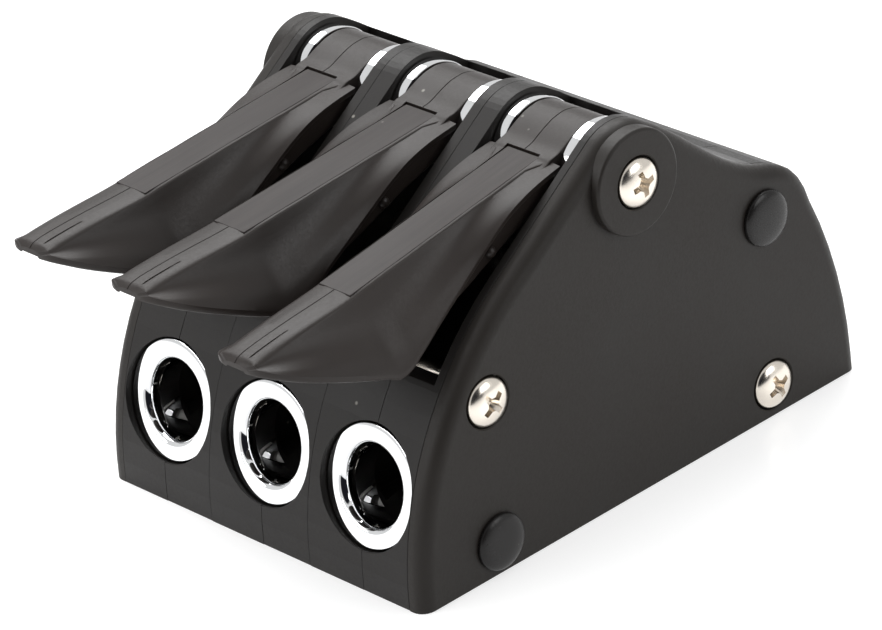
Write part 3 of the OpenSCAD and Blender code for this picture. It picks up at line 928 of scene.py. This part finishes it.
def stage():
    """A pale floor with a faint gloss and a little light of its own."""
    bpy.ops.mesh.primitive_plane_add(size=FLOOR_SIZE)
    floor = bpy.context.object
    floor.name = "floor"
    n = Nodes("floor")
    n.shader.inputs["Base Color"].default_value = (0.55, 0.55, 0.55, 1)
    n.shader.inputs["Roughness"].default_value = 0.2
    n.shader.inputs["Specular IOR Level"].default_value = 0.35
    n.shader.inputs["Emission Color"].default_value = (1, 1, 1, 1)
    n.shader.inputs["Emission Strength"].default_value = FLOOR_GLOW
    floor.data.materials.append(n.material)


DARK_SIDE = Vector((0.86, -0.42, 0.28)).normalized()
DARK_FROM = 0.74
DARK_FULL = 0.80
SKY_STRENGTH = 0.75


def sky():
    """A pale studio, darker on the camera's side."""
    world = bpy.data.worlds.new("studio")
    bpy.context.scene.world = world
    world.use_nodes = True
    tree = world.node_tree
    background = tree.nodes["Background"]
    place = tree.nodes.new("ShaderNodeTexCoord")
    toward = tree.nodes.new("ShaderNodeVectorMath")
    toward.operation = "DOT_PRODUCT"
    toward.inputs[1].default_value = DARK_SIDE
    tree.links.new(place.outputs["Generated"], toward.inputs[0])
    ramp = tree.nodes.new("ShaderNodeValToRGB")
    ramp.color_ramp.elements[0].position = DARK_FROM
    ramp.color_ramp.elements[0].color = (1, 1, 1, 1)
    ramp.color_ramp.elements[1].position = DARK_FULL
    ramp.color_ramp.elements[1].color = (0.015, 0.015, 0.02, 1)
    tree.links.new(toward.outputs["Value"], ramp.inputs["Fac"])
    tree.links.new(ramp.outputs["Color"], background.inputs["Color"])
    background.inputs["Strength"].default_value = SKY_STRENGTH


# Softboxes as name, place, size and power, all turned towards one point on the part
SOFTBOXES = (
    ("key", (-0.55, 0.35, 1.0), (1.1, 0.9), 16),
    ("front", (-0.5, -1.1, 0.75), (1.0, 0.7), 9),
    ("right", (1.15, 0.35, 0.75), (0.8, 0.8), 6))
LIT_POINT = Vector((0, 0, 0.04))


def softbox(name, place, size, power):
    light = bpy.data.lights.new(name, "AREA")
    light.shape = "RECTANGLE"
    light.size, light.size_y = size
    light.energy = power
    obj = bpy.data.objects.new(name, light)
    obj.location = place
    obj.rotation_euler = (LIT_POINT - Vector(place)).to_track_quat("-Z", "Y").to_euler()
    bpy.context.scene.collection.objects.link(obj)


AZIMUTH = 50.02
ELEVATION = 27.30
ROLL = -7.07
AIM = Vector((4.92, -12.81, 32.20)) * MM
DISTANCE = 1.0532
LENS = 211.74


def camera():
    """The photograph's viewpoint: a long lens, to the front right and above."""
    azimuth, elevation, roll = (math.radians(a) for a in (AZIMUTH, ELEVATION, ROLL))
    view = Vector((-math.sin(azimuth) * math.cos(elevation), math.cos(azimuth) * math.cos(elevation),
                   -math.sin(elevation)))
    data = bpy.data.cameras.new("camera")
    data.sensor_width = 36
    data.lens = LENS
    data.clip_start = 0.01
    obj = bpy.data.objects.new("camera", data)
    turn = view.to_track_quat("-Z", "Y").to_matrix().to_4x4() @ Matrix.Rotation(roll, 4, "Z")
    obj.matrix_world = Matrix.Translation(AIM - view * DISTANCE) @ turn
    bpy.context.scene.collection.objects.link(obj)
    bpy.context.scene.camera = obj


# ---------------------------------------------------------------- everything

screw_places = [PIVOT, centre_of("tie_rod_front"), centre_of("tie_rod_rear")]
cap_places = [centre_of("dowel_front"), centre_of("dowel_rear")]
for side, hand, turns in ((1, "right", (12, 40, 25)), (-1, "left", (60, 5, 33))):
    side_plate(f"side_plate_{hand}", screw_places, side)
    side_screws(f"screws_{hand}", screw_places, side, turns)
    end_caps(f"end_caps_{hand}", cap_places, side)
levers()
for k in MODULES:
    for hand in ("left", "right"):
        soften(f"shell_{hand}_{k}", "housing_plastic", 0.32)
    fairlead(f"front_fairlead_{k}")
    fairlead(f"rear_fairlead_{k}")
    cam_spring(k)
    soften(f"cam_{k}", "cam_metal", 0.25)
    soften(f"cam_pin_{k}", "stainless", 0.3)
    soften(f"rope_bed_{k}", "cam_metal", 0.12)
for node in ("pivot_axle", "tie_rod_front", "tie_rod_rear", "dowel_front", "dowel_rear"):
    soften(node, "stainless", 0.3)
soften("mounting_inserts", "brass", 0.2)

stage()
sky()
for box in SOFTBOXES:
    softbox(*box)
camera()
bpy.context.scene.view_settings.view_transform = "Standard"
